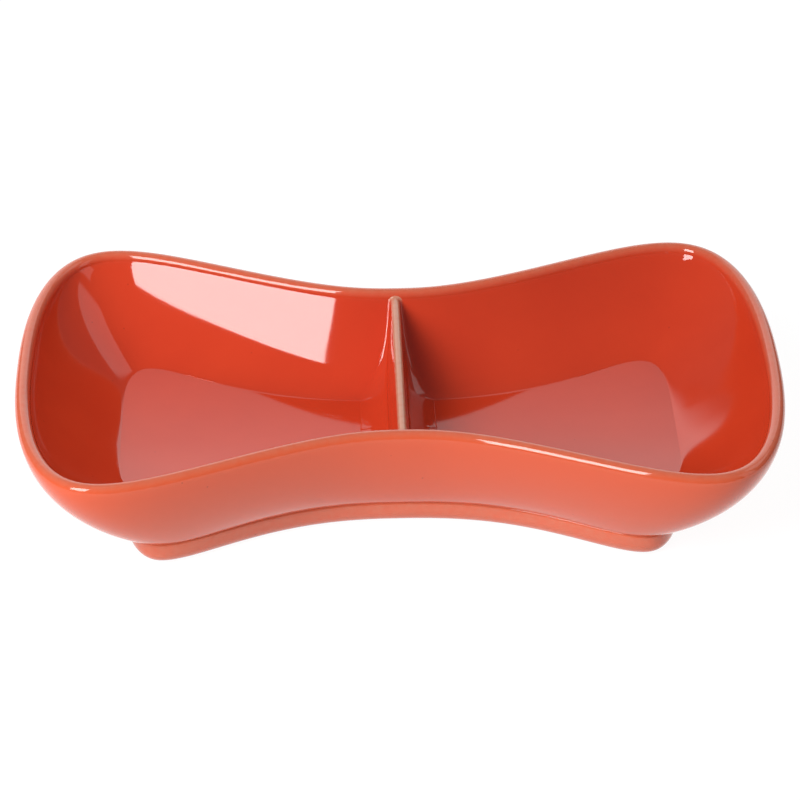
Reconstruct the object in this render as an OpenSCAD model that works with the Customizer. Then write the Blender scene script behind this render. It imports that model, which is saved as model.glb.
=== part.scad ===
// Divided serving bowl in glazed stoneware: a bow-tie shell with a rolled lip,
// a wall across its waist that parts it into two basins, and a foot ring.
// X runs along the bowl, Y across it and Z up. The origin is the centre of the foot's ground face.

/* [Rim] */
// Length of the rim from end to end
rim_length = 280; // [250:1:320]
// Width across the rim at its waist
rim_waist = 103.2; // [94:0.2:116]
// Width that the flaring sides aim for at the ends, before the corners round them off
rim_flare = 222; // [200:0.5:250]
// Height of the rim above the table
rim_height = 45.5; // [40:0.5:58]
// Thickness of the wall at the lip, which is rounded over to a half circle
wall = 5.5; // [4:0.1:6.5]

/* [Belly] */
// How far the outside draws in from the rim to the foot, at each end
belly_end_inset = 37.8; // [34:0.2:44]
// How far the outside draws in from the rim to the foot, at the waist
belly_waist_inset = 9.6; // [7:0.2:13]
// How far the outside draws in from the flare of the rim, at each side
belly_flare_inset = 13.4; // [10:0.2:20]

/* [Basins] */
// Thickness of the floor
floor_thickness = 5.5; // [4:0.1:7]
// Reach of the cove from the inside of the lip to the flat floor, at each end
cove_end = 38; // [34:0.5:44]
// Reach of the cove from the inside of the lip to the flat floor, at the waist
cove_waist = 22; // [16:0.5:28]
// Reach of the cove from the inside of the flare to the flat floor, at each side
cove_flare = 50; // [44:0.5:58]

/* [Dividing wall] */
// Thickness of the dividing wall at its crest
crest_thickness = 3.4; // [2.6:0.1:5]
// Drop from the rim down to the crest
crest_drop = 2; // [1.5:0.1:6]
// Slope of each side of the dividing wall, in degrees from upright
divider_draft = 1.5; // [0:0.1:4]
// Radius of the sweep from the dividing wall into the floor and the foot of the side walls
floor_sweep = 10; // [7:0.5:12]
// Radius of the sweep from the crest into the side walls
crest_sweep = 2.5; // [1:0.1:4]

/* [Foot ring] */
// Height of the foot ring, from the table to the underside of the bowl
foot_height = 9.8; // [8:0.1:12]
// Width of the ring, from its outer side to its inner side
foot_width = 9; // [8:0.1:9.5]
// Step from the lower edge of the belly in to the side of the ring
foot_setback = 0.3; // [0.2:0.1:1]
// Radius of the ring's outer lower edge
foot_outer_round = 5.5; // [3:0.1:6]
// Radius of the ring's inner lower edge
foot_inner_round = 1.5; // [1:0.1:1.9]

/* [Curves] */
// Power of the waist's curve: 2 is a hyperbola, more is flatter in the middle
waist_power = 2.45; // [2:0.05:3]
// Squareness of the rim's ends
rim_end_power = 5.7; // [4:0.1:7]
// Squareness of the rim's corners
rim_corner_power = 2.3; // [2:0.1:3]
// Squareness of the base's ends
base_end_power = 4.5; // [3.5:0.1:6]
// Squareness of the base's corners
base_corner_power = 3.5; // [3:0.1:3.8]
// How upright the belly leaves the rim
belly_rise_power = 1.7; // [1.6:0.05:2.2]
// How flat the belly runs in to the foot: 1 is a straight cone, 2 an ellipse
belly_turn_power = 1.25; // [1.1:0.05:1.6]
// How upright the basins leave the rim
basin_rise_power = 1.75; // [1.6:0.05:2.2]
// How softly the cove turns into the floor: 2 is an ellipse
basin_turn_power = 1.5; // [1.3:0.05:2]

/* [Hidden] */

// How far out the rim's waist gives way to its straight flare, as a share of the half length
rim_waist_share = 0.19;
// The same for the base, which curves all the way
base_waist_share = 3;
// How much closer the points of an outline lie at its ends, as a share of their even spacing
crowd_share = 0.35;

// How far the crest turns up where it meets the side walls, as a share of its sweep
crest_turn_share = 0.5;

// Points round each outline, and steps up the belly, over the lip, down the basins and round an edge
sides = 132;
belly_steps = 9;
lip_steps = 8;
basin_steps = 11;
edge_steps = 5;
// Steps of the dividing wall: up its sweep, up its plain part, over its crest and out to each side wall,
// and of the cavity's outline that it keeps its distance from
sweep_steps = 7;
rise_steps = 6;
crest_steps = 3;
reach_steps = 14;
waist_steps = 24;

// The sweeps of the dividing wall run this far under the clay that they blend into
seat_sink = 0.35;
// Overrun of the dividing wall's blank past the cavity that cuts it to shape
overrun = 4;

lip_radius = wall / 2;
spring_z = rim_height - lip_radius;
floor_z = foot_height + floor_thickness;
crest_z = rim_height - crest_drop;
crest_radius = crest_thickness / 2;

// Half width of a flaring outline at u, which runs from 0 at the waist to 1 at the end.
// It is a hyperbola-like curve: round at the waist, then nearly straight.
function swell(u, reach_share) = sqrt(1 + pow(u / reach_share, waist_power)) - 1;
function half_width(u, waist, flare, reach_share) =
    waist / 2 + (flare - waist) / 2 * swell(u, reach_share) / swell(1, reach_share);

// Closed bow-tie outline, counted round from the end on +X. The last factor rounds the ends off.
function turn(i) = 360 * i / sides - crowd_share * sin(720 * i / sides) * 90 / PI;
function bow_tie(length, waist, flare, reach_share, end_power, corner_power) = [
    for (i = [0 : sides - 1])
        let (
            angle = turn(i),
            u = abs(cos(angle)),
            shoulder = pow(max(0, 1 - pow(u, end_power)), 1 / corner_power)
        )
        [length / 2 * cos(angle), sign(sin(angle)) * half_width(u, waist, flare, reach_share) * shoulder]
];

// The same outline moved inwards by a distance, square to itself at every point
function inset(outline, distance) = [
    for (i = [0 : sides - 1])
        let (
            run = outline[(i + 1) % sides] - outline[(i + sides - 1) % sides],
            inward = [-run.y, run.x] / norm(run)
        )
        outline[i] + inward * distance
];

function lift(outline, z) = [for (p = outline) [p.x, p.y, z]];
function blend(a, b, share) = a * (1 - share) + b * share;

rim_line = bow_tie(rim_length, rim_waist, rim_flare, rim_waist_share, rim_end_power, rim_corner_power);
inner_line = inset(rim_line, wall);
base_line = bow_tie(
    rim_length - 2 * belly_end_inset, rim_waist - 2 * belly_waist_inset, rim_flare - 2 * belly_flare_inset,
    base_waist_share, base_end_power, base_corner_power);
floor_line = bow_tie(
    rim_length - 2 * (wall + cove_end), rim_waist - 2 * (wall + cove_waist), rim_flare - 2 * (wall + cove_flare),
    base_waist_share, base_end_power, base_corner_power);

// Profile of a curved side, from 0 degrees at its foot to 90 at its top:
// rise is the share of the height, draw the share of the way in from the top outline to the foot outline
function rise(angle, power) = 1 - pow(cos(angle), 2 / power);
function draw(angle, power) = 1 - pow(sin(angle), 2 / power);
// The same profile read by height
function draw_at(share, rise_power, turn_power) =
    1 - pow(1 - pow(1 - share, rise_power), 1 / turn_power);

// Sections of the shell, from the foot up the outside, over the lip and down the inside
belly_loops = [
    for (k = [0 : belly_steps - 1])
        let (angle = 90 * k / belly_steps)
        lift(
            blend(rim_line, base_line, draw(angle, belly_turn_power)),
            blend(foot_height, spring_z, rise(angle, belly_rise_power)))
];
lip_loops = [
    for (k = [0 : lip_steps])
        let (angle = 180 * k / lip_steps)
        lift(inset(rim_line, lip_radius * (1 - cos(angle))), spring_z + lip_radius * sin(angle))
];
basin_loops = [
    for (k = [1 : basin_steps])
        let (angle = 90 - 90 * k / basin_steps)
        lift(
            blend(inner_line, floor_line, draw(angle, basin_turn_power)),
            blend(floor_z, spring_z, rise(angle, basin_rise_power)))
];
// The inner half of the lip and the basins: the surface that the dividing wall is cut to
cavity_loops = concat([for (k = [lip_steps / 2 : lip_steps]) lip_loops[k]], basin_loops);

// Faces between neighbouring loops. Each face has its corners clockwise, seen from outside.
function band(first, second, count) = [
    for (i = [0 : count - 1])
        let (j = (i + 1) % count)
        each [
            [first * count + i, second * count + i, second * count + j],
            [first * count + i, second * count + j, first * count + j]
        ]
];
function turned(faces) = [for (f = faces) [f[2], f[1], f[0]]];

// Solid between a stack of loops, closed at both ends by a fan from its middle.
// The loops run from the lower middle outwards and up, unless inside is true.
module loft(loops, inside = false) {
    count = len(loops[0]);
    last = len(loops) - 1;
    low = count * len(loops);
    high = low + 1;
    middles = [[0, 0, loops[0][0].z], [0, 0, loops[last][0].z]];
    walls = [for (k = [0 : last - 1]) each band(k, k + 1, count)];
    ends = [
        for (i = [0 : count - 1])
            let (j = (i + 1) % count)
            each [[low, i, j], [last * count + i, high, last * count + j]]
    ];
    faces = concat(walls, ends);
    polyhedron(
        points = concat([for (loop = loops) each loop], middles),
        faces = inside ? turned(faces) : faces);
}

// Solid ring whose section is itself a closed run of loops
module ring(loops) {
    count = len(loops[0]);
    polyhedron(
        points = [for (loop = loops) each loop],
        faces = [for (k = [0 : len(loops) - 1]) each band(k, (k + 1) % len(loops), count)]);
}

module bowl_shell() {
    color("#d9472b") loft(concat(belly_loops, lip_loops, basin_loops));
}

// Half of the cavity's outline across the waist, [reach, height], from the middle of the floor to the lip
waist_outline = concat(
    [[0, floor_z]],
    [for (k = [0 : waist_steps])
        let (angle = 90 * k / waist_steps)
        [rim_waist / 2 - wall - cove_waist * draw(angle, basin_turn_power),
            blend(floor_z, spring_z, rise(angle, basin_rise_power))]],
    [for (k = [1 : lip_steps])
        let (angle = 90 * k / lip_steps)
        [rim_waist / 2 - lip_radius * (1 + cos(angle)), spring_z + lip_radius * sin(angle)]]);

// Half width of the basins at the waist, at a height
function waist_reach(z) =
    let (share = min(1, max(0, (z - floor_z) / (spring_z - floor_z))))
    rim_waist / 2 - wall - cove_waist * draw_at(share, basin_rise_power, basin_turn_power);

// Distance of a point from the cavity's outline across the waist, or zero outside it
function to_stretch(p, a, b) =
    let (run = b - a, share = min(1, max(0, (p - a) * run / (run * run))))
    norm(p - a - run * share);
function depth_in(p) =
    p.y <= floor_z || p.x >= waist_reach(p.y)
    ? 0
    : min([for (k = [1 : len(waist_outline) - 1]) to_stretch(p, waist_outline[k - 1], waist_outline[k])]);

// Height of a round sweep at a distance from the surface that it runs into:
// its full radius at the surface, nothing beyond that radius
function sweep(distance, radius) =
    let (left = 1 - min(1, max(0, distance / radius)))
    radius * (1 - sqrt(1 - left * left));
function sweep_radius(z) =
    blend(floor_sweep, crest_sweep, min(1, max(0, (z - floor_z) / (crest_z - floor_z))));

// Levels of the dividing wall: [height, half thickness], up the floor's sweep, the plain wall and the crest
round_z = crest_z - crest_radius;
sweep_top_z = floor_z + floor_sweep;
function plain_half(z) = crest_radius + max(0, round_z - z) * tan(divider_draft);
divider_heights = concat(
    [floor_z - overrun],
    [for (k = [0 : sweep_steps])
        floor_z - seat_sink + (floor_sweep + seat_sink) * (1 - cos(90 * k / sweep_steps))],
    [for (k = [1 : rise_steps]) blend(sweep_top_z, round_z, k / rise_steps)]);
divider_levels = concat(
    [for (z = divider_heights) [z, plain_half(z)]],
    [for (k = [1 : crest_steps])
        let (angle = 90 * k / (crest_steps + 0.5))
        [round_z + crest_radius * sin(angle), crest_radius * cos(angle)]]);

// Right-hand side of a level, from beyond the front wall to beyond the back wall.
// Above the plain wall it also turns up a little where it meets the side walls.
function level_side(level) =
    let (z = level[0], reach = waist_reach(z), radius = sweep_radius(z), last = reach_steps + 1)
    [for (k = [-last : last])
        let (
            y = abs(k) == last
                ? sign(k) * (reach + overrun)
                : (reach + seat_sink) * sin(90 * k / reach_steps),
            depth = depth_in([abs(y), z]) + (abs(y) > reach || z < floor_z ? 0 : seat_sink),
            turn_up = z < round_z ? 0 : crest_turn_share * sweep(depth, radius)
        )
        [level[1] + sweep(depth, radius), y, z + turn_up]];

// The side and its mirror image on the left, as one loop
function both_sides(side) =
    concat(side, [for (i = [len(side) - 1 : -1 : 0]) [-side[i].x, side[i].y, side[i].z]]);

// Solid between the levels, closed at both ends by strips across it
module divider_blank() {
    loops = [for (level = divider_levels) both_sides(level_side(level))];
    count = len(loops[0]);
    top = count * (len(loops) - 1);
    walls = [for (k = [0 : len(loops) - 2]) each band(k, k + 1, count)];
    ends = [
        for (i = [0 : count / 2 - 2])
            let (a = i, b = i + 1, c = count - 2 - i, d = count - 1 - i)
            each [[a, b, c], [a, c, d], [top + c, top + b, top + a], [top + d, top + c, top + a]]
    ];
    polyhedron(points = [for (loop = loops) each loop], faces = concat(walls, ends));
}

// Wall across the waist, cut by the cavity so that it seats on the shell all round
module divider_wall() {
    color("#dd5a3c") intersection() {
        divider_blank();
        loft(cavity_loops, inside = true);
    }
}

// Section of the foot ring: [step in from its outer side, height], down the inside,
// across the ground face and up the outside
foot_section = concat(
    [[foot_width, foot_height]],
    [for (k = [0 : edge_steps])
        let (angle = 90 - 90 * k / edge_steps)
        [foot_width - foot_inner_round * (1 - sin(angle)), foot_inner_round * (1 - cos(angle))]],
    [for (k = [0 : edge_steps])
        let (angle = 90 - 90 * k / edge_steps)
        [foot_outer_round * (1 - cos(angle)), foot_outer_round * (1 - sin(angle))]],
    [[0, foot_height]]);

module foot_ring() {
    color("#dc6a52")
        ring([for (p = foot_section) lift(inset(base_line, foot_setback + p[0]), p[1])]);
}

bowl_shell();
divider_wall();
foot_ring();
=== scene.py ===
"""Divided serving bowl in coral-glazed stoneware, and the studio that it stands in.

Lengths are in metres."""

import math

import bpy
import numpy as np
from mathutils import Matrix, Vector


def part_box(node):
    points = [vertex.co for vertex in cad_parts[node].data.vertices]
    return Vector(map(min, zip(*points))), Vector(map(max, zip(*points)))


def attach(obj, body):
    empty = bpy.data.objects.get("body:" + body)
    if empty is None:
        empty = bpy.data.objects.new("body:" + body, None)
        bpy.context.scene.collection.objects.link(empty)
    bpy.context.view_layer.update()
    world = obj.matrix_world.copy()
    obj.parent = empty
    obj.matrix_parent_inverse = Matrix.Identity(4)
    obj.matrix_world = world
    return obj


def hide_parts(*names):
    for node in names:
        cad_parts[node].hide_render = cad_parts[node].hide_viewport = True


bl_info = {
    "name": "Divided serving bowl",
    "version": (1, 0, 0),
    "blender": (4, 5, 0),
    "location": "3D View > Sidebar > Bowl",
    "description": "Builds a bow-tie serving bowl with two basins, its glazes and its studio",
    "category": "Mesh",
}

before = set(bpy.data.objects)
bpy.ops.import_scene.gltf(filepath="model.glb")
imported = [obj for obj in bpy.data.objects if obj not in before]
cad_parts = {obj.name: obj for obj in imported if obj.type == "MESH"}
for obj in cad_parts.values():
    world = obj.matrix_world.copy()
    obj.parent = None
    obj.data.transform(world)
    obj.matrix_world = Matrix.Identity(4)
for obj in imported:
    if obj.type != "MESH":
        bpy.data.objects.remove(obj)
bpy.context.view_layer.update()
SHELL_BOX, FOOT_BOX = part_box("bowl_shell"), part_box("foot_ring")
MM = 0.001

# Counts of points round each outline and of rows along each stretch of a surface
AROUND = 480
BELLY_ROWS, LIP_ROWS, BASIN_ROWS = 40, 17, 64
UNDERSIDE_RINGS, FLOOR_RINGS, FLOOR_CROWDING = 14, 30, 2.0
SWEEP_ROWS, SIDE_ROWS, CREST_ROWS, SECTIONS = 28, 24, 12, 121
OUTLINE_STEPS, HALVINGS, EDGE_STEPS = 150, 30, 10

# How much closer the points of an outline lie at its ends, as a share of their even spacing
CROWDING = 0.35
# Slope of the dividing wall's sides in degrees, and how far its crest turns up beside the lip,
# as a share of its sweep
DRAFT, CREST_TURN = 5.5, 0.5
# How fast the sweep of the dividing wall narrows on its way up: more is faster
SWEEP_FALL = 4.0
# How far a piece runs on under the clay that it grows out of, and the cove between foot and underside
SEAT_SINK, UNDER_COVE = 0.4 * MM, 2.0 * MM

# How high up the foot ring's plain side its last visible point stands, as a share of its height
FOOT_SIDE_SHARE = 0.8

# The glaze: widths of its thin and thick bands beside the lip, how thin it lies there, how strongly a painted
# reflection of the table lightens the outside towards the foot, how thin it lies on the foot with painted
# reflection added, sizes of its patterns, and the height up to which it was wiped off the foot
THIN_WIDTH, BEAD_WIDTH, BEAD_DROP, CREST_WIDTH = 3.0 * MM, 1.0 * MM, 5.5 * MM, 1.2 * MM
RIM_THIN, BELLY_PAINTED_REFLECTION, FOOT_THIN_AND_PAINTED_REFLECTION = 0.36, 0.12, 0.33
CLOUD_SIZE, RAGGED_SIZE, FLECK_SPACING, RIPPLE_SIZE = 30 * MM, 2.5 * MM, 11 * MM, 12 * MM
WIPED_HEIGHT = 0.25 * MM
# The most that shows of the deep glaze in its clouds, of the clay through thin glaze, of a fleck, and of the
# darker grit in the bare clay
CLOUD_MOST, BREAK_MOST, FLECK_MOST, GRIT_MOST = 0.35, 0.9, 0.4, 0.5
# Radius of a fleck's full colour and of its edge, as shares of the flecks' spacing
FLECK_CORE_SHARE, FLECK_EDGE_SHARE = 0.02, 0.04
# Surfaces: roughness, and the height and strength of the glaze's ripples and the clay's grit
GLAZE_ROUGHNESS, GLAZE_IOR, RIPPLE_HEIGHT, RIPPLE_STRENGTH = 0.05, 1.5, 0.02 * MM, 0.5
CLAY_ROUGHNESS, GRIT_SIZE, GRIT_HEIGHT, GRIT_STRENGTH = 0.85, 0.4 * MM, 0.1 * MM, 0.6

# Camera, fitted to the photograph's outline: degrees, metres, and the lens and its sensor in millimetres
CAMERA_ELEVATION, CAMERA_YAW, CAMERA_AIM = 32.78, -1.7, (0.00045, 0.0, 0.02698)
CAMERA_DISTANCE, CAMERA_LENS, SENSOR_WIDTH = 1.2945, 157.5, 36.0
NEAREST_SEEN, FARTHEST_SEEN = 0.01, 20.0

# Table: half its side and its whiteness, its light to the camera, the little whiteness on top of that which
# keeps the shadow, and its light in the glaze's mirror image
TABLE_HALF, TABLE_WHITENESS = 3.0, 0.8
TABLE_SHOWN, TABLE_SHADED, TABLE_MIRRORED = 0.95, 0.12, 1.25
# Boards of light, as angles from straight behind to the right and up from the table: from, to, from, to
BACKDROP, REFLECTOR, FILL = (-31.0, 31.0, -90.0, 47.5), (36.0, 82.0, 32.0, 56.0), (90.0, 120.0, 2.0, 50.0)
# How softly their upright and their level edges end
UPRIGHT_SOFT, LEVEL_SOFT = 6.0, 1.5
# The backdrop's light where it starts to fall off and at its top, and that of the other boards and the room
FALL_START, BACKDROP_BRIGHT, BACKDROP_DIM = 27.0, 1.3, 0.55
REFLECTOR_LIGHT, FILL_LIGHT, ROOM_LIGHT = 1.0, 0.9, 0.16
SOFTBOX_RADIANCE, SOFTBOX_SIZE = 13.4, (0.8, 1.25)
SOFTBOX_PLACE, SOFTBOX_FACING = (-0.94, -0.92, 1.2), (0.0, 0.977, -0.212)


# Sizes and colours that a user would change


def length(name, value_mm, description):
    """A length property with its default in millimetres."""
    return bpy.props.FloatProperty(
        name=name, description=description, default=value_mm * MM, min=0.0, unit="LENGTH")


def power(name, value, description):
    """A plain number property, for the powers of the curves."""
    return bpy.props.FloatProperty(name=name, description=description, default=value, min=0.1, max=10.0)


def colour(name, hex_value, description):
    """A colour property whose default is written as an sRGB hex value."""
    return bpy.props.FloatVectorProperty(
        name=name, description=description, default=linear(hex_value), size=3, min=0.0, max=1.0,
        subtype="COLOR")


def linear(hex_value):
    """Linear RGB of an sRGB hex value such as "d9472b"."""
    channels = [int(hex_value[i:i + 2], 16) / 255 for i in (0, 2, 4)]
    return tuple(c / 12.92 if c <= 0.04045 else ((c + 0.055) / 1.055) ** 2.4 for c in channels)


class BowlSizes(bpy.types.PropertyGroup):
    """Driving sizes of the bowl. The overall ones come from the frame."""

    rim_length: length(
        "Rim length", (SHELL_BOX[1].x - SHELL_BOX[0].x) / MM, "Length of the rim from end to end")
    rim_waist: length("Rim waist", 103.2, "Width across the rim at its waist")
    rim_flare: length("Rim flare", 221.8, "Width that the flaring sides aim for at the ends")
    rim_height: length("Rim height", SHELL_BOX[1].z / MM, "Height of the rim above the table")
    wall: length("Wall", 5.5, "Thickness of the wall at the rolled lip")
    belly_end_inset: length("Belly end inset", 37.8, "How far the outside draws in to the foot at each end")
    belly_waist_inset: length(
        "Belly waist inset", 9.6, "How far the outside draws in to the foot at the waist")
    belly_flare_inset: length("Belly flare inset", 13.4, "How far the outside draws in from the flare")
    floor_thickness: length("Floor thickness", 4.7, "Thickness of the floor in its middle")
    dish_radius: length("Dish radius", 400.0, "Radius of the floor's shallow dish, across the bowl")
    cove_end: length("Cove at the ends", 31.5, "Reach of the cove from the lip to the floor at each end")
    cove_waist: length("Cove at the waist", 28.5, "Reach of the cove from the lip to the floor at the waist")
    cove_flare: length("Cove at the flare", 50.0, "Reach of the cove from the flare to the floor")
    crest_thickness: length("Crest thickness", 3.4, "Thickness of the dividing wall at its crest")
    crest_drop: length("Crest drop", 2.0, "Drop from the rim to the crest of the dividing wall")
    floor_sweep: length("Floor sweep", 10.0, "Radius of the sweep from the dividing wall into the floor")
    crest_sweep: length("Crest sweep", 1.0, "Radius of the sweep from the crest into the side walls")
    foot_height: length("Foot height", FOOT_BOX[1].z / MM, "Height of the foot ring")
    foot_width: length("Foot width", 9.0, "Width of the foot ring")
    foot_setback: length("Foot setback", 0.3, "Step from the belly in to the side of the foot ring")
    foot_outer_round: length("Foot outer round", 5.5, "Radius of the ring's outer lower edge")
    foot_inner_round: length("Foot inner round", 1.5, "Radius of the ring's inner lower edge")


class BowlCurves(bpy.types.PropertyGroup):
    """Powers of the bowl's curves."""

    waist: power("Waist", 2.45, "Power of the waist's curve: 2 is a hyperbola, more is flatter in the middle")
    rim_end: power("Rim end", 5.7, "Squareness of the rim's ends")
    rim_corner: power("Rim corner", 2.3, "Squareness of the rim's corners")
    base_end: power("Base end", 4.5, "Squareness of the base's ends")
    base_corner: power("Base corner", 3.5, "Squareness of the base's corners")
    floor_end: power("Floor end", 7.5, "Squareness of the floor's ends")
    floor_corner: power("Floor corner", 4.5, "Squareness of the floor's corners")
    belly_rise: power("Belly rise", 1.7, "How upright the belly leaves the rim")
    belly_turn: power("Belly turn", 1.25, "How flat the belly runs in to the foot")
    side_rise: power("Side rise", 1.05, "How upright the basins leave the rim along the sides")
    end_rise: power("End rise", 1.45, "How upright the basins leave the rim at the ends")
    cove_side: power("Cove at the sides", 1.8, "How softly the cove turns into the floor along the sides")
    cove_end: power("Cove at the ends", 1.08, "How softly the cove turns into the floor at the ends")
    cove_change: power("Cove change", 5.0, "How closely the form of the cove at the ends keeps to them")
    rim_waist_share: power("Rim waist share", 0.19, "How far out the rim's waist gives way to its flare")
    base_waist_share: power(
        "Base waist share", 3.0, "The same for the base and the floor, which curve all the way")


class BowlColours(bpy.types.PropertyGroup):
    """Colours of the glaze and the clay."""

    coral: colour("Coral glaze", "d24022", "Body colour of the glaze where it lies evenly")
    deep: colour("Deep glaze", "c4351d", "The glaze where it lies thick")
    # Painted light: this lighter coral on the outside and the foot stands in for the light and the table's
    # reflection that fall on the outer walls
    orange: colour("Outer glaze", "e6592f", "The glaze outside, where it is sprayed thinner")
    broken: colour(
        "Broken glaze", "d2977c", "The glaze where it runs thin over an edge and the clay shows through")
    fleck: colour("Fleck", "8c2a1c", "Iron flecks and pinholes in the glaze")
    clay: colour("Bare clay", "d9c3ac", "Fired stoneware where the glaze was wiped off the foot")


# Form of the bowl


def swell(u, reach):
    """How far a flaring outline has opened at u: the root of one plus (u / reach) to a power, less one."""
    power_of_waist = curves().waist
    return np.sqrt(1 + (u / reach) ** power_of_waist) - 1


def bow_tie(angle, full_length, waist, flare, reach, end_power, corner_power):
    """Closed bow-tie outline as an (n, 2) array, counted round from the end on +X.

    Along it x is half the length times the angle's cosine. The half width is a hyperbola-like curve in
    u = |cosine|, times a factor that falls to zero at the ends and rounds them off."""
    u = np.abs(np.cos(angle))
    half = waist / 2 + (flare - waist) / 2 * swell(u, reach) / swell(1.0, reach)
    shoulder = np.clip(1 - u ** end_power, 0, None) ** (1 / corner_power)
    return np.column_stack([full_length / 2 * np.cos(angle), np.sign(np.sin(angle)) * half * shoulder])


def inset(outline, distance):
    """The outline moved inwards by a distance, square to itself at every point."""
    run = np.roll(outline, -1, axis=0) - np.roll(outline, 1, axis=0)
    inward = np.column_stack([-run[:, 1], run[:, 0]]) / np.linalg.norm(run, axis=1, keepdims=True)
    return outline + inward * distance


def rise(angle, curve):
    """Share of the height of a curved side, from 0 at its foot to 1 at its top."""
    return 1 - np.clip(np.cos(angle), 0, None) ** (2 / curve)


def draw(angle, curve):
    """Share of the way in of a curved side, from 1 at its foot to 0 at its top."""
    return 1 - np.sin(angle) ** (2 / curve)


def blend(a, b, share):
    """Straight mix of a and b."""
    return a * (1 - share) + b * share


def sizes():
    """The scene's bowl sizes."""
    return bpy.context.scene.bowl_sizes


def curves():
    """The scene's bowl curves."""
    return bpy.context.scene.bowl_curves


class Form:
    """Outlines and levels of the bowl, worked out from its sizes for a number of points round it."""

    def __init__(self, around):
        s, c = sizes(), curves()
        even = np.arange(around) / around * 2 * np.pi
        angle = even - CROWDING * np.sin(2 * even) / 2
        cove = s.wall + s.cove_end, s.wall + s.cove_waist, s.wall + s.cove_flare
        self.rim = bow_tie(
            angle, s.rim_length, s.rim_waist, s.rim_flare, c.rim_waist_share, c.rim_end, c.rim_corner)
        self.inner = inset(self.rim, s.wall)
        self.base = bow_tie(
            angle, s.rim_length - 2 * s.belly_end_inset, s.rim_waist - 2 * s.belly_waist_inset,
            s.rim_flare - 2 * s.belly_flare_inset, c.base_waist_share, c.base_end, c.base_corner)
        self.floor = bow_tie(
            angle, s.rim_length - 2 * cove[0], s.rim_waist - 2 * cove[1], s.rim_flare - 2 * cove[2],
            c.base_waist_share, c.floor_end, c.floor_corner)
        endness = np.abs(np.cos(angle)) ** c.cove_change
        self.turn = blend(c.cove_side, c.cove_end, endness)
        self.rise = blend(c.side_rise, c.end_rise, endness)
        self.lip_radius = s.wall / 2
        self.spring_z = s.rim_height - self.lip_radius
        self.floor_z = s.foot_height + s.floor_thickness
        self.crest_z = s.rim_height - s.crest_drop

    def belly(self, steps):
        """Loops up the outside, from the foot to just under the lip."""
        s, c = sizes(), curves()
        angle = np.linspace(0, np.pi / 2, steps, endpoint=False)
        return [
            at_height(blend(self.rim, self.base, d), blend(s.foot_height, self.spring_z, r))
            for d, r in zip(draw(angle, c.belly_turn), rise(angle, c.belly_rise))]

    def lip(self, steps):
        """Loops over the rolled lip, a half circle from its outside to its inside."""
        angle = np.linspace(0, np.pi, steps)
        return [
            at_height(
                inset(self.rim, self.lip_radius * (1 - math.cos(a))),
                self.spring_z + self.lip_radius * math.sin(a))
            for a in angle]

    def basins(self, steps):
        """Loops down the inside, from under the lip to the edge of the floor."""
        loops = []
        for a in np.linspace(np.pi / 2, 0, steps + 1)[1:]:
            outline = blend(self.inner, self.floor, draw(a, self.turn)[:, None])
            height = blend(self.dish(outline[:, 1]), self.spring_z, rise(a, self.rise))
            loops.append(at_height(outline, height))
        return loops

    def dish(self, y):
        """Height of the floor, carried on under the coves: it rises by y squared over twice its radius."""
        return self.floor_z + y ** 2 / (2 * sizes().dish_radius)

    def bottom(self, rings):
        """Loops of the floor, shrinking towards its middle, without the middle itself."""
        return [
            at_height(self.floor * share, self.dish(self.floor[:, 1] * share))
            for share in 1 - np.linspace(0, 1, rings + 1)[1:-1] ** FLOOR_CROWDING]


def at_height(outline, z):
    """The (n, 2) outline as an (n, 3) loop at a height."""
    return np.column_stack([outline, np.full(len(outline), z)])


def disc(outline, z, rings):
    """Loops of a flat disc inside an outline, shrinking towards its middle, without the middle itself."""
    return [at_height(outline * share, z) for share in np.linspace(1, 0, rings + 1)[1:-1]]


# Meshes from grids


def quads_between(rows, columns):
    """Quads of a grid that closes round its columns.

    They face outwards when columns run counter-clockwise and rows upwards."""
    first = np.arange(rows - 1)[:, None] * columns
    left = np.arange(columns)[None, :]
    right = (left + 1) % columns
    above = first + columns
    return np.stack([first + left, first + right, above + right, above + left], -1).reshape(-1, 4)


def mesh_object(name, points, faces, attributes, smooth=None):
    """A mesh object at the origin, with float attributes on its points.

    It is smooth-shaded, or as told face by face."""
    mesh = bpy.data.meshes.new(name)
    mesh.from_pydata(points, [], faces)
    mesh.polygons.foreach_set("use_smooth", np.ones(len(mesh.polygons), bool) if smooth is None else smooth)
    for label, values in attributes.items():
        layer = mesh.attributes.new(label, "FLOAT", "POINT")
        layer.data.foreach_set("value", np.asarray(values, np.float32))
    mesh.update()
    mesh.validate()
    piece = bpy.data.objects.new(name, mesh)
    bpy.context.scene.collection.objects.link(piece)
    return piece


def lathe_like(name, loops, attributes, poles=True):
    """Closed surface through a stack of loops.

    It runs from its lower middle outwards, up and back in to its upper middle.
    With poles the first and last loop are closed by a fan to their middle point. Without poles the last
    loop joins the first, which gives a ring."""
    columns = len(loops[0])
    points = np.concatenate(loops)
    if not poles:
        loops = loops + [loops[0]]
    faces = quads_between(len(loops), columns) % len(points)
    fans = []
    if poles:
        low, high = len(points), len(points) + 1
        i = np.arange(columns)
        j = (i + 1) % columns
        last = len(points) - columns
        fans = np.concatenate([
            np.column_stack([np.full(columns, low), j, i]),
            np.column_stack([last + i, last + j, np.full(columns, high)])]).tolist()
        points = np.concatenate([points, loops[0].mean(0)[None], loops[-1].mean(0)[None]])
    return mesh_object(name, points.tolist(), faces.tolist() + fans, attributes(points))


# Sections of the dividing wall


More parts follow.
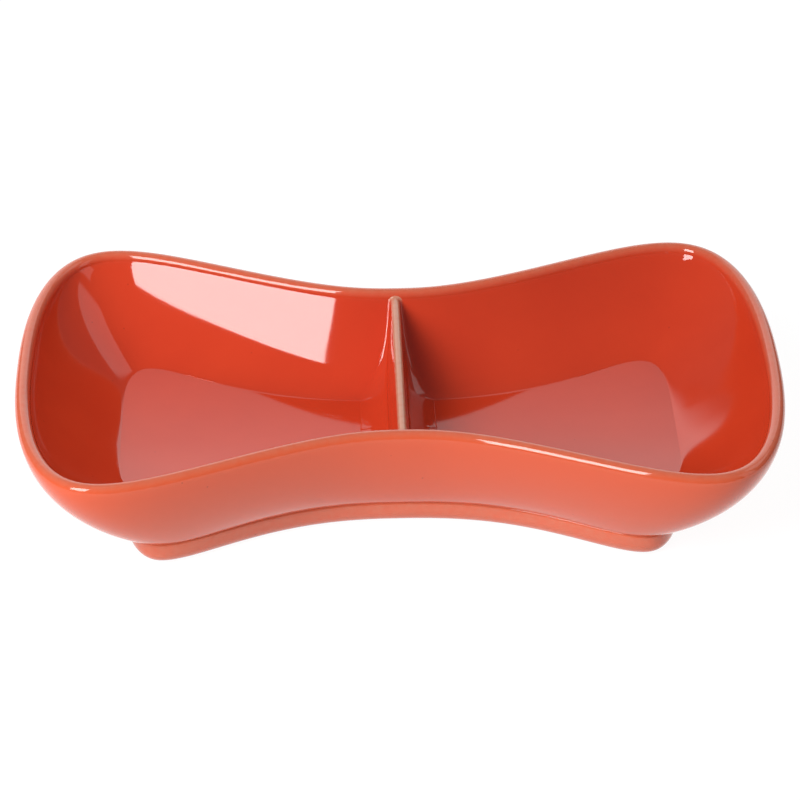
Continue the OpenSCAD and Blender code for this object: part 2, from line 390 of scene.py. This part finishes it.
class Waist:
    """Cross-section of the basins at the waist, which the dividing wall grows out of."""

    def __init__(self, form):
        s, c = sizes(), curves()
        self.form = form
        self.floor_length = s.rim_length - 2 * (s.wall + s.cove_end)
        self.floor_waist = s.rim_waist - 2 * (s.wall + s.cove_waist)
        self.floor_flare = s.rim_flare - 2 * (s.wall + s.cove_flare)
        self.floor_reach = self.floor_waist / 2
        self.crest_radius = s.crest_thickness / 2
        self.round_z = form.crest_z - self.crest_radius
        up = np.linspace(0, np.pi / 2, OUTLINE_STEPS)
        self.cove_inwards = draw(up, c.cove_side)
        out = blend(s.rim_waist / 2 - s.wall, self.floor_reach, self.cove_inwards)
        self.cove_height = blend(form.dish(out), form.spring_z, rise(up, c.side_rise))
        over = form.spring_z + form.lip_radius * np.sin(up[1:])
        height = np.concatenate([self.cove_height, over])
        across = np.linspace(0, self.floor_reach, OUTLINE_STEPS, endpoint=False)
        self.outline = np.vstack([
            np.column_stack([across, form.dish(across)]),
            np.column_stack([self.reach(0.0, height), height])])

    def reach(self, x, z):
        """Half width of the basins at a distance x from the middle and a height z.

        It mixes the half widths of the lip's inside and of the floor by the cove's curve, and above the
        cove adds the circle of the lip."""
        s, c, form = sizes(), curves(), self.form
        inwards = np.interp(z, self.cove_height, self.cove_inwards)
        u = 2 * np.abs(x) / blend(s.rim_length, self.floor_length, inwards)
        share = swell(u, c.rim_waist_share) / swell(1.0, c.rim_waist_share)
        top = blend(s.rim_waist, s.rim_flare, share) / 2 - s.wall
        share = swell(u, c.base_waist_share) / swell(1.0, c.base_waist_share)
        bottom = blend(self.floor_waist, self.floor_flare, share) / 2
        over = np.clip(z - form.spring_z, 0, form.lip_radius)
        return blend(top, bottom, inwards) + form.lip_radius - np.sqrt(form.lip_radius ** 2 - over ** 2)

    def depth(self, x, y, z):
        """Distance of points from the basins' surface.

        It is measured to the outline across the waist, moved out to where that runs at x."""
        moved = np.abs(y) - (self.reach(x, z) - self.reach(0.0, z))
        a, b = self.outline[:-1], self.outline[1:]
        run = b - a
        rel_y, rel_z = moved[..., None] - a[:, 0], z[..., None] - a[:, 1]
        share = np.clip((rel_y * run[:, 0] + rel_z * run[:, 1]) / (run ** 2).sum(1), 0, 1)
        gap = np.hypot(rel_y - run[:, 0] * share, rel_z - run[:, 1] * share).min(-1)
        return np.where(z > np.interp(moved, *self.outline.T), gap, 0.0)


def sweep(depth, radius):
    """Width of a round sweep at a depth from the surface that it runs into.

    It is the radius at the surface and nothing from a depth of one radius on."""
    left = 1 - np.clip(depth / radius, 0, 1)
    return radius * (1 - np.sqrt(1 - left ** 2))


def divider_sections(form):
    """Sections of the dividing wall from the front to the back, as a (sections, points, 3) array.

    Each section runs from the floor up the right side, over the crest and down the left side. A side's half
    thickness is that of a plain drafted wall plus a round sweep that grows with nearness to the basins'
    surface. The sweep widens the wall and lifts its crest, so it is solved by halving an interval until
    width and nearness agree."""
    s = sizes()
    waist = Waist(form)
    up_sweep = form.floor_z + s.floor_sweep * (1 - np.cos(np.linspace(0, np.pi / 2, SWEEP_ROWS)))
    up_side = np.linspace(up_sweep[-1], waist.round_z, SIDE_ROWS + 1)[1:]
    z = np.concatenate([up_sweep, up_side])
    half = waist.crest_radius + (waist.round_z - z) * math.tan(math.radians(DRAFT))
    over = np.pi / 2 * np.arange(1, CREST_ROWS + 1) / (CREST_ROWS + 0.5)
    base_x = np.concatenate([half, waist.crest_radius * np.cos(over)])[:, None]
    base_z = np.concatenate([z, waist.round_z + waist.crest_radius * np.sin(over)])[:, None]
    out_x = np.concatenate([np.ones(len(z)), np.cos(over)])[:, None]
    out_z = np.concatenate([np.zeros(len(z)), CREST_TURN * np.sin(over)])[:, None]
    climb = np.clip((base_z - form.floor_z) / (form.crest_z - form.floor_z), 0, 1)
    radius = blend(s.crest_sweep, s.floor_sweep, (1 - climb) ** SWEEP_FALL)
    lift = (form.dish(waist.floor_reach) - form.floor_z) * (1 - climb)
    ends = waist.reach(base_x + out_x * radius, base_z + out_z * radius + lift)
    y = ends * np.sin(np.pi / 2 * np.linspace(-1, 1, SECTIONS))[None, :]
    across = np.clip(np.abs(y), 0, waist.floor_reach)
    base_z = base_z + (form.dish(across) - form.floor_z) * (1 - climb)
    low, high = np.zeros_like(y), radius + np.zeros_like(y)
    for _ in range(HALVINGS):
        middle = (low + high) / 2
        near = sweep(waist.depth(base_x + out_x * middle, y, base_z + out_z * middle), radius)
        low, high = np.where(near > middle, middle, low), np.where(near > middle, high, middle)
    right = np.stack([base_x + out_x * high, y, base_z + out_z * high], -1)
    under = right[:1] - np.array([0.0, 0.0, SEAT_SINK])
    right = np.concatenate([under, right])
    left = right[::-1] * np.array([-1.0, 1.0, 1.0])
    sections = np.concatenate([right, left]).transpose(1, 0, 2)
    front, back = sections[:1].copy(), sections[-1:].copy()
    front[..., 1] -= SEAT_SINK
    back[..., 1] += SEAT_SINK
    return np.concatenate([front, sections, back])


def capped_tube(name, sections, attributes):
    """Closed surface through sections that mirror themselves, with strips across the first and last.

    The outermost strips lie under the clay of the shell. They are flat, so that the sweeps keep their own
    shading up to where they run out."""
    count, around = sections.shape[:2]
    points = sections.reshape(-1, 3)
    faces = quads_between(count, around)
    k = np.arange(around // 2 - 1)
    strip = np.column_stack([k, k + 1, around - 2 - k, around - 1 - k])
    faces = np.concatenate([faces[:, ::-1], strip, (strip + (count - 1) * around)[:, ::-1]])
    shown = np.zeros((count - 1, around), bool)
    shown[1:-1, 1:around - 2] = True
    smooth = np.concatenate([shown.ravel(), np.zeros(2 * len(strip), bool)])
    return mesh_object(name, points.tolist(), faces.tolist(), attributes(points), smooth)


# Section of the foot ring


def foot_section():
    """Closed section of the foot ring, as [step in from the base's outline, height].

    It runs down the inside from a cove under the floor, round the inner edge, across the ground face,
    round the outer edge and up to the belly, and closes inside the clay."""
    s = sizes()
    quarter = np.linspace(0, np.pi / 2, EDGE_STEPS)
    cove = UNDER_COVE
    inner = s.foot_setback + s.foot_width
    r, R = s.foot_inner_round, s.foot_outer_round
    return np.concatenate([
        np.column_stack([
            inner + cove * (1 - np.sin(quarter)), s.foot_height - cove * (1 - np.cos(quarter))]),
        np.column_stack([inner - r * (1 - np.cos(quarter)), r * (1 - np.sin(quarter))]),
        np.column_stack([s.foot_setback + R * (1 - np.sin(quarter)), R * (1 - np.cos(quarter))]),
        [[s.foot_setback, s.foot_height * FOOT_SIDE_SHARE], [s.foot_setback, s.foot_height + SEAT_SINK],
         [inner + cove, s.foot_height + SEAT_SINK]],
    ])


# Glazes and clay


def feed(tree, socket, value):
    """Sets an input to a value, or links it where the value is another node's output."""
    if isinstance(value, bpy.types.NodeSocket):
        tree.links.new(value, socket)
    else:
        socket.default_value = value


def node(tree, kind, inputs=None, **settings):
    """Adds a node to a tree with its settings and its inputs, each a value or another node's output."""
    made = tree.nodes.new(kind)
    for label, value in settings.items():
        setattr(made, label, value)
    for label, value in (inputs or {}).items():
        feed(tree, made.inputs[label], value)
    return made


def opaque(rgb):
    """The colour with full opacity."""
    return (*rgb, 1.0)


def grey(level):
    """An opaque neutral colour."""
    return opaque((level, level, level))


def new_material(name):
    """A material with an empty node tree and its output."""
    material = bpy.data.materials.new(name)
    material.use_nodes = True
    tree = material.node_tree
    tree.nodes.clear()
    return material, tree, tree.nodes.new("ShaderNodeOutputMaterial")


def mixed(tree, a, b, factor):
    """Colour that goes from a to b by a factor, each a colour or a node's output."""
    made = node(tree, "ShaderNodeMix", {"Factor": factor}, data_type="RGBA")
    for label, value in (("A", a), ("B", b)):
        feed(tree, next(i for i in made.inputs if i.name == label and i.type == "RGBA"), value)
    return next(o for o in made.outputs if o.type == "RGBA")


def coral_glaze():
    """Coral reactive glaze, sprayed on stoneware and fired glossy.

    It gives the eye a deep, wet orange-red that mirrors the room, breaks to tan where it runs thin over an
    edge, lies redder where it gathers, and carries fine iron flecks and pinholes. The outside and the foot
    are painted a lighter coral as painted light, and tan is laid low on the outside as a painted reflection."""
    paint = bpy.context.scene.bowl_colours
    material, tree, output = new_material("coral_glazed_stoneware")
    place = node(tree, "ShaderNodeTexCoord").outputs["Object"]
    thin, thick, outer = (
        node(tree, "ShaderNodeAttribute", attribute_name=label).outputs["Fac"]
        for label in ("thin", "thick", "outer"))
    cloud = node(tree, "ShaderNodeTexNoise", {"Scale": 1 / CLOUD_SIZE, "Detail": 3.0, "Vector": place})
    drift = node(tree, "ShaderNodeMapRange", {
        "From Min": 0.3, "From Max": 0.7, "To Min": 0.0, "To Max": CLOUD_MOST, "Value": cloud.outputs["Fac"]})
    body = mixed(tree, opaque(paint.coral), opaque(paint.deep), drift.outputs["Result"])
    body = mixed(tree, body, opaque(paint.deep), thick)
    # Painted light: the outside and the foot take the lighter outer colour in place of the light that falls
    # on them
    body = mixed(tree, body, opaque(paint.orange), outer)
    ragged = node(tree, "ShaderNodeTexNoise", {"Scale": 1 / RAGGED_SIZE, "Detail": 4.0, "Vector": place})
    edge = node(tree, "ShaderNodeMath", {0: ragged.outputs["Fac"], 1: 0.5}, operation="SUBTRACT")
    edge = node(tree, "ShaderNodeMath", {0: edge.outputs[0], 1: thin, 2: thin}, operation="MULTIPLY_ADD")
    edge = node(tree, "ShaderNodeMapRange", {"To Max": BREAK_MOST, "Value": edge.outputs[0]})
    body = mixed(tree, body, opaque(paint.broken), edge.outputs["Result"])
    grain = node(tree, "ShaderNodeTexVoronoi", {"Scale": 1 / FLECK_SPACING, "Vector": place})
    fleck = node(tree, "ShaderNodeMapRange", {
        "From Min": FLECK_CORE_SHARE, "From Max": FLECK_EDGE_SHARE, "To Min": FLECK_MOST, "To Max": 0.0,
        "Value": grain.outputs["Distance"]})
    body = mixed(tree, body, opaque(paint.fleck), fleck.outputs["Result"])
    ripple = node(tree, "ShaderNodeTexNoise", {"Scale": 1 / RIPPLE_SIZE, "Detail": 1.0, "Vector": place})
    bump = node(tree, "ShaderNodeBump", {
        "Strength": RIPPLE_STRENGTH, "Distance": RIPPLE_HEIGHT, "Height": ripple.outputs["Fac"]})
    shader = node(tree, "ShaderNodeBsdfPrincipled", {
        "Roughness": GLAZE_ROUGHNESS, "IOR": GLAZE_IOR, "Base Color": body, "Normal": bump.outputs["Normal"]})
    tree.links.new(shader.outputs["BSDF"], output.inputs["Surface"])
    return material


def bare_clay():
    """Unglazed stoneware, wiped clean on the foot before the firing: pale, dry and finely gritty."""
    paint = bpy.context.scene.bowl_colours
    material, tree, output = new_material("bare_stoneware")
    place = node(tree, "ShaderNodeTexCoord").outputs["Object"]
    grit = node(tree, "ShaderNodeTexNoise", {"Scale": 1 / GRIT_SIZE, "Detail": 5.0, "Vector": place})
    speck = node(tree, "ShaderNodeMapRange", {
        "From Min": 0.35, "From Max": 0.75, "To Min": 0.0, "To Max": GRIT_MOST, "Value": grit.outputs["Fac"]})
    tone = mixed(tree, opaque(paint.clay), opaque(paint.broken), speck.outputs["Result"])
    bump = node(tree, "ShaderNodeBump", {
        "Strength": GRIT_STRENGTH, "Distance": GRIT_HEIGHT, "Height": grit.outputs["Fac"]})
    shader = node(tree, "ShaderNodeBsdfPrincipled", {
        "Roughness": CLAY_ROUGHNESS, "Base Color": tone, "Normal": bump.outputs["Normal"]})
    tree.links.new(shader.outputs["BSDF"], output.inputs["Surface"])
    return material


def glaze():
    """The glaze, made once and shared by the pieces."""
    return bpy.data.materials.get("coral_glazed_stoneware") or coral_glaze()


def near(distance, width):
    """A soft mask: 1 at distance zero, falling as a bell curve of the given width."""
    return np.exp(-(distance / width) ** 2)


# Operators


class BOWL_OT_shell(bpy.types.Operator):
    """Build the bow-tie shell with its belly, rolled lip, coves and floor"""

    bl_idname = "bowl.shell"
    bl_label = "Shell"

    def execute(self, context):
        form = Form(AROUND)
        s = sizes()
        loops = [
            *disc(form.base, s.foot_height, UNDERSIDE_RINGS)[::-1], *form.belly(BELLY_ROWS),
            *form.lip(LIP_ROWS), *form.basins(BASIN_ROWS), *form.bottom(FLOOR_RINGS)]
        counts = [UNDERSIDE_RINGS - 1, BELLY_ROWS, LIP_ROWS, BASIN_ROWS, FLOOR_RINGS - 1]
        starts = np.cumsum([0, *counts])
        row = np.arange(len(loops), dtype=float)
        lip_middle = (starts[2] + starts[3] - 1) / 2
        # Share of the painted light on each row: full on the underside and the belly, falling to nothing
        # across the lip
        outside = np.clip((starts[3] - row) / (starts[3] - starts[2]), 0, 1)
        low = np.clip((starts[2] - row) / BELLY_ROWS, 0, 1)
        steps = np.array([np.linalg.norm(b - a, axis=1).mean() for a, b in zip(loops, loops[1:])])
        along = np.concatenate([[0], np.cumsum(steps)])
        crown = np.interp(lip_middle, row, along)

        def attributes(points):
            """How thin and thick the glaze lies, with a painted reflection low on the outside, and where the
            outside is painted lighter as painted light.
            """
            # The second term is a painted reflection of the white table: tan over the underside and the
            # belly, full at the foot and fading out towards the lip
            thin = RIM_THIN * near(along - crown, THIN_WIDTH) + BELLY_PAINTED_REFLECTION * low
            return {
                "thin": per_point(thin, len(points)),
                "outer": per_point(outside, len(points)),
                "thick": per_point(near(along - crown + BEAD_DROP, BEAD_WIDTH), len(points)),
            }

        piece = lathe_like("bowl_shell_glazed", loops, attributes)
        finish_piece(piece, "bowl_shell", [glaze()])
        return {"FINISHED"}


def per_point(per_row, count):
    """Values of rows spread over their points, with zero for the two middle points."""
    return np.concatenate([np.repeat(per_row, AROUND), np.zeros(count - len(per_row) * AROUND)])


def finish_piece(piece, cad_node, materials):
    """Gives a piece its materials and ties it to the frame in place of a node."""
    for material in materials:
        piece.data.materials.append(material)
    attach(piece, "root")
    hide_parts(cad_node)


class BOWL_OT_divider(bpy.types.Operator):
    """Build the dividing wall across the waist, swept into the floor and the sides"""

    bl_idname = "bowl.divider"
    bl_label = "Dividing wall"

    def execute(self, context):
        form = Form(AROUND)

        def attributes(points):
            """The glaze runs thin over the crest."""
            return {
                "thin": near(points[:, 2] - form.crest_z, CREST_WIDTH) * (points[:, 2] > form.floor_z),
                "thick": np.zeros(len(points)),
                "outer": np.zeros(len(points)),
            }

        piece = capped_tube("divider_wall_glazed", divider_sections(form), attributes)
        finish_piece(piece, "divider_wall", [glaze()])
        return {"FINISHED"}


class BOWL_OT_foot(bpy.types.Operator):
    """Build the foot ring with its rounded edges and its wiped ground face"""

    bl_idname = "bowl.foot"
    bl_label = "Foot ring"

    def execute(self, context):
        form = Form(AROUND)
        section = foot_section()
        loops = [at_height(inset(form.base, step), z) for step, z in section]

        def attributes(points):
            """The glaze lies thinly on the whole ring. Its tan is raised as a painted reflection of the
            table, and the ring also takes the outside's painted light.
            """
            return {
                "thin": np.full(len(points), FOOT_THIN_AND_PAINTED_REFLECTION), "thick": np.zeros(len(points)),
                "outer": np.ones(len(points))}

        piece = lathe_like("foot_ring_glazed", loops, attributes, poles=False)
        finish_piece(piece, "foot_ring", [glaze(), bare_clay()])
        height = np.array([p.center[2] for p in piece.data.polygons])
        piece.data.polygons.foreach_set("material_index", (height < WIPED_HEIGHT).astype(np.int32))
        return {"FINISHED"}


class BOWL_OT_stage(bpy.types.Operator):
    """Set up the table, the studio lights and the camera"""

    bl_idname = "bowl.stage"
    bl_label = "Stage"

    def execute(self, context):
        bpy.context.scene.view_settings.view_transform = "Standard"
        table()
        backdrop()
        softbox()
        camera()
        return {"FINISHED"}


def plane(name, corners):
    """A flat four-cornered sheet."""
    mesh = bpy.data.meshes.new(name)
    mesh.from_pydata(corners, [], [(0, 1, 2, 3)])
    sheet = bpy.data.objects.new(name, mesh)
    bpy.context.scene.collection.objects.link(sheet)
    return sheet


def table():
    """White table that shows white to the camera and in the glaze, and keeps the bowl's shadow."""
    half = TABLE_HALF
    top = plane("table", [(-half, -half, 0), (half, -half, 0), (half, half, 0), (-half, half, 0)])
    material, tree, output = new_material("white_lacquered_board")
    path = node(tree, "ShaderNodeLightPath")
    diffuse = node(tree, "ShaderNodeBsdfDiffuse", {"Color": grey(TABLE_WHITENESS)})
    mirrored = node(tree, "ShaderNodeEmission", {"Strength": TABLE_MIRRORED})
    faint = node(tree, "ShaderNodeBsdfDiffuse", {"Color": grey(TABLE_SHADED)})
    glow = node(tree, "ShaderNodeEmission", {"Strength": TABLE_SHOWN})
    seen = node(tree, "ShaderNodeAddShader", {0: glow.outputs[0], 1: faint.outputs[0]})
    lit = node(tree, "ShaderNodeMixShader", {
        0: path.outputs["Is Glossy Ray"], 1: diffuse.outputs[0], 2: mirrored.outputs[0]})
    mix = node(tree, "ShaderNodeMixShader", {
        0: path.outputs["Is Camera Ray"], 1: lit.outputs[0], 2: seen.outputs[0]})
    tree.links.new(mix.outputs[0], output.inputs["Surface"])
    top.data.materials.append(material)


def board(tree, aside, up, edges, light):
    """Light of a board that fills the directions between its edges, given in degrees, and ends softly.

    The light is a number or a node's output."""
    left, right, low, high = (math.radians(v) for v in edges)
    upright, level = math.radians(UPRIGHT_SOFT), math.radians(LEVEL_SOFT)
    ends = (aside, left, upright), (aside, right, -upright), (up, low, level), (up, high, -level)
    for direction, edge, inwards in ends:
        inside = node(
            tree, "ShaderNodeMapRange", {"From Min": edge, "From Max": edge + inwards, "Value": direction},
            interpolation_type="SMOOTHSTEP").outputs[0]
        light = node(tree, "ShaderNodeMath", {0: inside, 1: light}, operation="MULTIPLY").outputs[0]
    return light


def backdrop():
    """World light of a white backdrop behind the table and two boards to the right, in a dark room.

    Each board fills a field of directions. The backdrop's light falls off with height. The camera sees
    plain white."""
    world = bpy.data.worlds.new("studio")
    world.use_nodes = True
    bpy.context.scene.world = world
    tree = world.node_tree
    tree.nodes.clear()
    output = tree.nodes.new("ShaderNodeOutputWorld")
    way = node(tree, "ShaderNodeTexCoord").outputs["Generated"]
    x, y, z = node(tree, "ShaderNodeSeparateXYZ", {"Vector": way}).outputs
    up = node(tree, "ShaderNodeMath", {0: z}, operation="ARCSINE").outputs[0]
    aside = node(tree, "ShaderNodeMath", {0: x, 1: y}, operation="ARCTAN2").outputs[0]
    fall = node(tree, "ShaderNodeMapRange", {
        "From Min": math.radians(FALL_START), "From Max": math.radians(BACKDROP[3]),
        "To Min": BACKDROP_BRIGHT, "To Max": BACKDROP_DIM, "Value": up})
    light = ROOM_LIGHT
    for edges, shown in ((BACKDROP, fall.outputs[0]), (REFLECTOR, REFLECTOR_LIGHT), (FILL, FILL_LIGHT)):
        shown = board(tree, aside, up, edges, shown)
        light = node(tree, "ShaderNodeMath", {0: light, 1: shown}, operation="ADD").outputs[0]
    room = node(tree, "ShaderNodeBackground", {"Color": grey(1.0), "Strength": light})
    white = node(tree, "ShaderNodeBackground", {"Color": grey(1.0), "Strength": 1.0})
    path = node(tree, "ShaderNodeLightPath")
    mix = node(tree, "ShaderNodeMixShader", {
        0: path.outputs["Is Camera Ray"], 1: room.outputs[0], 2: white.outputs[0]})
    tree.links.new(mix.outputs[0], output.inputs["Surface"])


def softbox():
    """Tall softbox to the left of the camera, leaning slightly over the table."""
    lamp = bpy.data.lights.new("softbox", "AREA")
    lamp.shape, lamp.size, lamp.size_y = "RECTANGLE", *SOFTBOX_SIZE
    lamp.energy = SOFTBOX_RADIANCE * math.pi * lamp.size * lamp.size_y
    box = bpy.data.objects.new("softbox", lamp)
    bpy.context.scene.collection.objects.link(box)
    facing = Vector(SOFTBOX_FACING).to_track_quat("-Z", "Y").to_matrix().to_4x4()
    box.matrix_world = Matrix.Translation(SOFTBOX_PLACE) @ facing
    box.visible_camera = False


def camera():
    """Camera at the photograph's angle, not turned about its own axis."""
    e, yaw = math.radians(CAMERA_ELEVATION), math.radians(CAMERA_YAW)
    back = Vector((math.sin(yaw) * math.cos(e), -math.cos(yaw) * math.cos(e), math.sin(e)))
    right = (-back).cross(Vector((0, 0, 1))).normalized()
    turn = Matrix((right, right.cross(-back), back)).transposed().to_4x4()
    lens = bpy.data.cameras.new("camera")
    lens.lens, lens.sensor_width = CAMERA_LENS, SENSOR_WIDTH
    lens.clip_start, lens.clip_end = NEAREST_SEEN, FARTHEST_SEEN
    eye = bpy.data.objects.new("camera", lens)
    bpy.context.scene.collection.objects.link(eye)
    eye.matrix_world = Matrix.Translation(Vector(CAMERA_AIM) + CAMERA_DISTANCE * back) @ turn
    bpy.context.scene.camera = eye


class BOWL_PT_panel(bpy.types.Panel):
    """Sidebar panel with the bowl's operators and sizes"""

    bl_label = "Divided serving bowl"
    bl_idname = "BOWL_PT_panel"
    bl_space_type = "VIEW_3D"
    bl_region_type = "UI"
    bl_category = "Bowl"

    def draw(self, context):
        """Lists the operators, then every property."""
        for maker in MAKERS:
            self.layout.operator(maker.bl_idname)
        for group in (context.scene.bowl_sizes, context.scene.bowl_curves, context.scene.bowl_colours):
            column = self.layout.column()
            for label in group.bl_rna.properties.keys():
                if label not in ("rna_type", "name"):
                    column.prop(group, label)


MAKERS = (BOWL_OT_shell, BOWL_OT_divider, BOWL_OT_foot, BOWL_OT_stage)
GROUPS = {"bowl_sizes": BowlSizes, "bowl_curves": BowlCurves, "bowl_colours": BowlColours}


def register():
    """Registers the classes and hangs the property groups on the scene."""
    for kind in (*GROUPS.values(), *MAKERS, BOWL_PT_panel):
        bpy.utils.register_class(kind)
    for label, kind in GROUPS.items():
        setattr(bpy.types.Scene, label, bpy.props.PointerProperty(type=kind))


def unregister():
    """Takes back what register did."""
    for label in GROUPS:
        delattr(bpy.types.Scene, label)
    for kind in (BOWL_PT_panel, *reversed(MAKERS), *reversed(GROUPS.values())):
        bpy.utils.unregister_class(kind)


def main():
    """Builds the whole scene."""
    register()
    for maker in MAKERS:
        group, label = maker.bl_idname.split(".")
        getattr(getattr(bpy.ops, group), label)()


if __name__ == "__main__":
    main()
